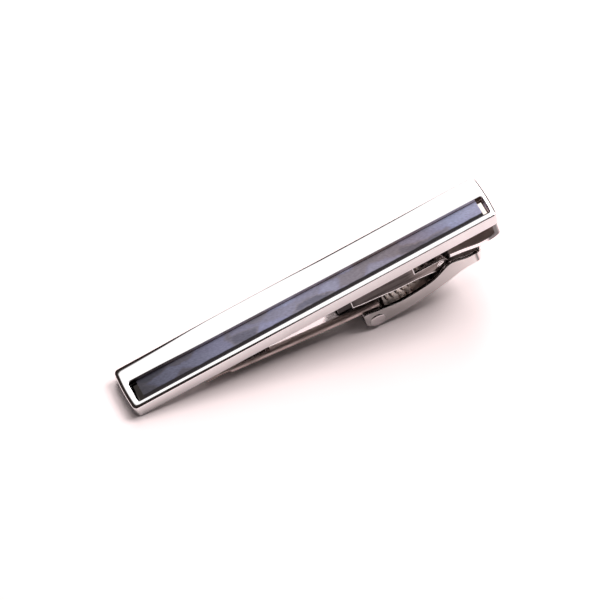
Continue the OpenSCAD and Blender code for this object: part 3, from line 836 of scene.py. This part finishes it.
def rounder(points, steps=3):
    """The same line with more points, on a smooth curve through all of them."""
    result = []
    for k in range(len(points) - 1):
        before, a, b, after = (points[max(k - 1, 0)], points[k], points[k + 1],
                               points[min(k + 2, len(points) - 1)])
        for step in range(steps):
            t = step / steps
            result.append(a * (1 - t) ** 2 * (1 + 2 * t) + b * t * t * (3 - 2 * t)
                          + (b - before) * 0.5 * t * (1 - t) ** 2
                          - (after - a) * 0.5 * t * t * (1 - t))
    return result + [points[-1]]


def end_x(y):
    """Where the bar's rounded right end lies at a place across it."""
    y = abs(y)
    corner_y = HALF_WIDTH - PLAN_CORNER
    inner_radius = BOW_RADIUS - PLAN_CORNER
    corner_x = BAR_LENGTH - BOW_RADIUS + math.sqrt(inner_radius ** 2 - corner_y ** 2)
    if y <= corner_y * BOW_RADIUS / inner_radius:
        return BAR_LENGTH - BOW_RADIUS + math.sqrt(BOW_RADIUS ** 2 - y ** 2)
    return corner_x + math.sqrt(max(PLAN_CORNER ** 2 - (y - corner_y) ** 2, 0))


def add_strip(material, inner_material, edge_material):
    bm = bmesh.new()
    outer = rounder([Vector((BAR_LENGTH - along * STRIP_LENGTH, -down * STRIP_DROP))
                     for along, down in STRIP])
    inner = []
    for k, point in enumerate(outer):
        run = (outer[min(k + 1, len(outer) - 1)] - outer[max(k - 1, 0)]).normalized()
        inner.append(point + STRIP_THICKNESS * Vector((run.y, -run.x)))
    inner[0] = Vector((BAR_LENGTH - STRIP_THICKNESS, 0))
    rings = []
    for k in range(-STRIP_STEPS, STRIP_STEPS + 1):
        y = STRIP_HALF * math.sin(math.pi / 2 * k / STRIP_STEPS)
        limit = end_x(y)
        ring = [(min(p.x, limit), y, p.y) for p in outer]
        ring += [(min(p.x, limit - STRIP_THICKNESS), y, p.y) for p in reversed(inner)]
        rings.append(ring)
    made = loft(bm, rings)
    # The inner skin takes the second material, a darker copy as painted shade, and the sides the
    # third, painted dark near the curl as shade
    inner_skin = {vert for ring in made for vert in ring[len(outer):]}
    for face in bm.faces:
        if all(vert in inner_skin for vert in face.verts):
            face.material_index = 1
    bm.faces.new(reversed(made[0])).material_index = 2
    bm.faces.new(made[-1]).material_index = 2
    piece = add_piece("curled_strip", bm, (material, inner_material, edge_material),
                      "bar", ["end_strip"])
    soften(piece, 0.05, angle=50)


# The inner ears, which ride in the lever round the fulcrum pin: their radius, sheet, outer half
# width, and the heights of their front and rear lower corners
EARS_RADIUS, EARS_SHEET, EARS_HALF = 0.9, 0.5, 2.15
EARS_BOTTOM = (-8.32, -7.76)
EARS_STEPS = 16


def add_ears(material):
    bm = bmesh.new()
    turns = [math.pi * k / EARS_STEPS for k in range(EARS_STEPS + 1)]
    outline = [(FULCRUM.x + EARS_RADIUS * math.cos(turn), FULCRUM.z + EARS_RADIUS * math.sin(turn))
               for turn in turns]
    outline += [(FULCRUM.x - EARS_RADIUS, EARS_BOTTOM[0]),
                (FULCRUM.x + EARS_RADIUS, EARS_BOTTOM[1])]
    for side in (-1, 1):
        middle = side * (EARS_HALF - EARS_SHEET / 2)
        prism(bm, outline, middle - EARS_SHEET / 2, middle + EARS_SHEET / 2)
    piece = add_piece("lever_ears", bm, (material,), "lever", [])
    soften(piece, 0.05, segments=2)


# The bracket: the width of the bright border painted round each wall as a highlight line, and how
# far the wall inside it lies in; a face within this distance of the furthest point is a wall's
# outer face
BORDER_WIDTH, BORDER_SINK = 0.13, 0.05
WALL_TOLERANCE = 0.01


def add_bracket(material, edge_material):
    """A copy of the CAD solid, with a border painted bright as a highlight round the outer face of
    each wall.
    """
    bm = joined_solid("hinge_bracket")
    outside = max(vert.co.y for vert in bm.verts) - WALL_TOLERANCE * MM
    walls = [face for face in bm.faces if all(abs(vert.co.y) > outside for vert in face.verts)]
    border = bmesh.ops.inset_region(bm, faces=walls, thickness=BORDER_WIDTH * MM,
                                    depth=-BORDER_SINK * MM, use_even_offset=True)
    for face in border["faces"]:
        face.material_index = 1
    name = "hinge_bracket_piece"
    piece = finish_piece(name, mesh_from(bm, name), (material, edge_material),
                         "bar", ["hinge_bracket"])
    soften(piece, 0.05, segments=2)


# The coil spring: the middle of its front and rear ends, its wire's radius, its coil's, its turns,
# and how much its coils close up towards both ends
SPRING_ENDS = (Vector((38.825, 0, -7.605)), Vector((45.72, 0, -6.9355)))
WIRE_RADIUS, COIL_RADIUS, COIL_TURNS = 0.15, 0.95, 8
COIL_CLOSING = 0.175
STEPS_PER_TURN, WIRE_SIDES = 28, 10


def add_spring(material):
    bm = bmesh.new()
    start, end = SPRING_ENDS
    run = end - start
    length, forwards = run.length, run.normalized()
    sideways = Vector((0, 1, 0))
    upwards = forwards.cross(sideways)
    total = COIL_TURNS * STEPS_PER_TURN
    rings = []
    for k in range(total + 1):
        turn = 2 * math.pi * k / STEPS_PER_TURN
        outwards = math.cos(turn) * sideways + math.sin(turn) * upwards
        around = -math.sin(turn) * sideways + math.cos(turn) * upwards
        share = k / total
        eased = share - COIL_CLOSING / COIL_TURNS * math.sin(2 * math.pi * share)
        centre = start + forwards * (length * eased) + outwards * COIL_RADIUS
        across = around.cross(outwards)
        angles = [2 * math.pi * side / WIRE_SIDES for side in range(WIRE_SIDES)]
        rings.append([centre + WIRE_RADIUS * (math.cos(angle) * outwards
                                              + math.sin(angle) * across) for angle in angles])
    made = loft(bm, rings)
    bm.faces.new(reversed(made[0]))
    bm.faces.new(made[-1])
    # On the real clip its front end goes with the lever and its rear end stays on the bracket, and
    # pressing shortens it; here it is attached to no body and stays as drawn
    piece = add_piece("coil_spring", bm, (material,), None, ["closing_spring"])
    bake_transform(piece)


def add_pin(material):
    mesh = mesh_from(joined_solid("fulcrum_pin"), "fulcrum_pin_piece")
    piece = finish_piece("fulcrum_pin_piece", mesh, (material,), "lever",
                         ["fulcrum_pin"])
    soften(piece, 0.05, segments=2)


# The floor: its plain colour, and its colour as the camera and the metal see it, which is white
# where it is lit and pinkish grey in the clip's shadow; half its size in metres
FLOOR_COLOUR, FLOOR_SEEN = (0.85, 0.81, 0.81, 1), (1.62, 1.39, 1.39, 1)
FLOOR_HALF = 3

# Name, azimuth from the far side, elevation and watts of each soft lamp; the lamps' distance and
# size in metres
LAMPS = (("overhead_lamp", 0, 90, 0.9), ("rear_lamp", 26, 65, 1.8),
         ("low_rear_lamp", 26, 40, 1.1), ("right_lamp", 86, 55, 3.6))
LAMP_DISTANCE, LAMP_SIZE = 0.9, 0.4

# The room gives little light. The metal mirrors bright panels with dark openings between them, as
# in a studio; an opening has a direction and the cosines from it where it begins and is darkest
ROOM_COLOUR = (0.06, 0.06, 0.06, 1)
OPENING_COLOUR, PANEL_COLOUR = (0.035, 0.025, 0.023, 1), (1.5, 1.5, 1.5, 1)
OPENINGS = (((-0.1, -0.85, 0.5), 0.1, 0.3), ((-0.9, 0.3, 0.05), 0.45, 0.62),
            ((-0.25, 0.95, 0.05), 0.67, 0.78), ((0.78, 0.55, 0.25), 0.87, 0.93))


def looked_at(nodes, links, directly):
    """1 for what the metal mirrors, and if directly also for what is seen straight; else 0."""
    path = nodes.new("ShaderNodeLightPath").outputs
    seen = calculated(nodes, links, "MAXIMUM", path["Is Glossy Ray"],
                      path["Is Camera Ray"] if directly else 0)
    early = ranged(nodes, links, path["Diffuse Depth"], 0, 1, 1, 0)
    return calculated(nodes, links, "MULTIPLY", seen, early)


def add_floor():
    mesh = bpy.data.meshes.new("floor")
    corners = [(x * FLOOR_HALF, y * FLOOR_HALF, 0) for x, y in ((-1, -1), (1, -1), (1, 1), (-1, 1))]
    mesh.from_pydata(corners, [], [(0, 1, 2, 3)])
    floor = new_object("floor", mesh)
    material, nodes, links = new_material("white_table")
    nodes.remove(nodes["Principled BSDF"])
    shader = nodes.new("ShaderNodeBsdfDiffuse")
    links.new(shader.outputs["BSDF"], nodes["Material Output"].inputs["Surface"])
    links.new(mixed(nodes, links, looked_at(nodes, links, True), FLOOR_COLOUR, FLOOR_SEEN),
              shader.inputs["Color"])
    mesh.materials.append(material)


def add_lamps():
    for name, azimuth, elevation, watts in LAMPS:
        light = bpy.data.lights.new(name, "AREA")
        light.shape = "SQUARE"
        light.size = LAMP_SIZE
        light.energy = watts
        lamp = new_object(name, light)
        lamp.location = direction(180 - azimuth, elevation) * LAMP_DISTANCE
        lamp.rotation_mode = "QUATERNION"
        lamp.rotation_quaternion = (-lamp.location).to_track_quat("-Z", "Y")


def add_room():
    world = bpy.data.worlds.new("studio")
    bpy.context.scene.world = world
    world.use_nodes = True
    nodes, links = world.node_tree.nodes, world.node_tree.links
    place = nodes.new("ShaderNodeTexCoord")
    level = 1
    for centre, edge, inside in OPENINGS:
        dot = nodes.new("ShaderNodeVectorMath")
        dot.operation = "DOT_PRODUCT"
        dot.inputs[1].default_value = Vector(centre).normalized()
        links.new(place.outputs["Generated"], dot.inputs[0])
        here = ranged(nodes, links, dot.outputs["Value"], edge, inside, 1, 0, smooth=True)
        level = calculated(nodes, links, "MINIMUM", level, here)
    mirrored = mixed(nodes, links, level, OPENING_COLOUR, PANEL_COLOUR)
    links.new(mixed(nodes, links, looked_at(nodes, links, False), ROOM_COLOUR, mirrored),
              nodes["Background"].inputs["Color"])


add_camera()
add_floor()
add_lamps()
add_room()

# Each metal's name, colour, colour where it is dull, roughness, painted shade along the bar,
# streaks and the painted shade's fade
pin_steel = metal("bright_plating", (0.74, 0.72, 0.72), (0.7, 0.68, 0.68), 0.05)
# Painted shade: the bar's sides are painted darker towards the left end and towards their lower
# edge, for the shadowed floor they mirror
bar_steel = metal("bar_plating", (0.74, 0.72, 0.72), (0.7, 0.68, 0.68), 0.05,
                  ((0, 1), (0.5, 0.9), (1.2, 0.47), (8, 0.53), (15, 0.64), (25, 0.72), (35, 0.8),
                   (45, 0.9), (BAR_LENGTH, 1)), shade_fade=(0.1, 1.9))
# A brighter copy of the plating as a painted highlight, for the bar's back and the bracket's
# borders, so that what they mirror turns white
mirror_highlight_steel = metal("mirror_highlight_plating", (0.93, 0.92, 0.92), (0.9, 0.88, 0.88), 0.04)
# Painted shade in the channel: near black at its bare left end, lighter towards the right
channel_steel = metal("channel_plating", (0.85, 0.74, 0.69), (0.7, 0.6, 0.56), 0.1,
                      ((0, 0.03), (INLAY_START, 0.03), (INLAY_START + 0.8, 0.8),
                       (BAR_LENGTH, 1)))
# Painted shade: the lever is painted darker towards its eye, and a thin painted dark line, standing
# in for shade, crosses its tail
lever_steel = metal("lever_plating", (0.85, 0.81, 0.8), (0.78, 0.74, 0.73), 0.08,
                    ((0, 0.43), (36, 0.43), (40, 0.46), (46, 0.55), (52.5, 0.77), (52.95, 0.83),
                     (53.1, 0.12), (53.35, 0.12), (53.5, 1), (BAR_LENGTH, 1)))
# Painted shade inside the lever: dark near its eye and near black at its tail, lighter in its
# middle
lever_inside = metal("lever_inside_plating", (0.75, 0.62, 0.58), (0.6, 0.5, 0.46), 0.3,
                     ((0, 0.3), (39.5, 0.3), (42, 1), (45, 1), (46.5, 0.12), (BAR_LENGTH, 0.12)))
# Painted shade on the bracket: its nose is painted darker than its walls, and its arms lighter
hinge_steel = metal("hinge_plating", (0.3, 0.26, 0.25), (0.08, 0.06, 0.055), 0.2,
                    ((0, 0.18), (34.6, 0.18), (35, 0.3), (43, 0.3), (45, 0.9), (BAR_LENGTH, 0.9)),
                    streaks=True)
# A darker copy of the plating as painted shade, for the jaw's walls and the strip's inside
jaw_steel = metal("jaw_plating", (0.46, 0.39, 0.37), (0.34, 0.29, 0.27), 0.42)
# Near black: painted shade for the inside of the jaw and its ridges
painted_shade_steel = metal("painted_shade_plating", (0.09, 0.07, 0.065), (0.04, 0.03, 0.03), 0.3)
# A brighter copy of the plating as a painted highlight, for the jaw's flat top and the strip's
# outside
satin_highlight_steel = metal("satin_highlight_plating", (0.96, 0.95, 0.95), (0.93, 0.92, 0.92), 0.17)
# Painted shade across the strip's sides near its curl, lighter at its very end
strip_edge_steel = metal("strip_edge_plating", (0.93, 0.91, 0.91), (0.85, 0.82, 0.82), 0.1,
                         ((0, 1), (55.2, 1), (55.7, 0.18), (57.1, 0.18), (57.4, 0.6),
                          (BAR_LENGTH, 0.6)))
wire_steel = metal("wire", (0.95, 0.86, 0.8), (0.8, 0.7, 0.64), 0.4)
rivet_steel = metal("rivet_plating", (0.5, 0.47, 0.47), (0.42, 0.39, 0.39), 0.1)

add_bar(bar_steel, mirror_highlight_steel, channel_steel)
add_inlay(inlay_material())
add_lever(lever_steel, lever_inside)
add_ears(hinge_steel)
add_spring(wire_steel)
add_jaw(jaw_steel, painted_shade_steel, satin_highlight_steel)
add_bracket(hinge_steel, mirror_highlight_steel)
add_strip(satin_highlight_steel, jaw_steel, strip_edge_steel)
add_rivet(rivet_steel)
add_pin(pin_steel)

bpy.context.scene.view_settings.view_transform = "Standard"
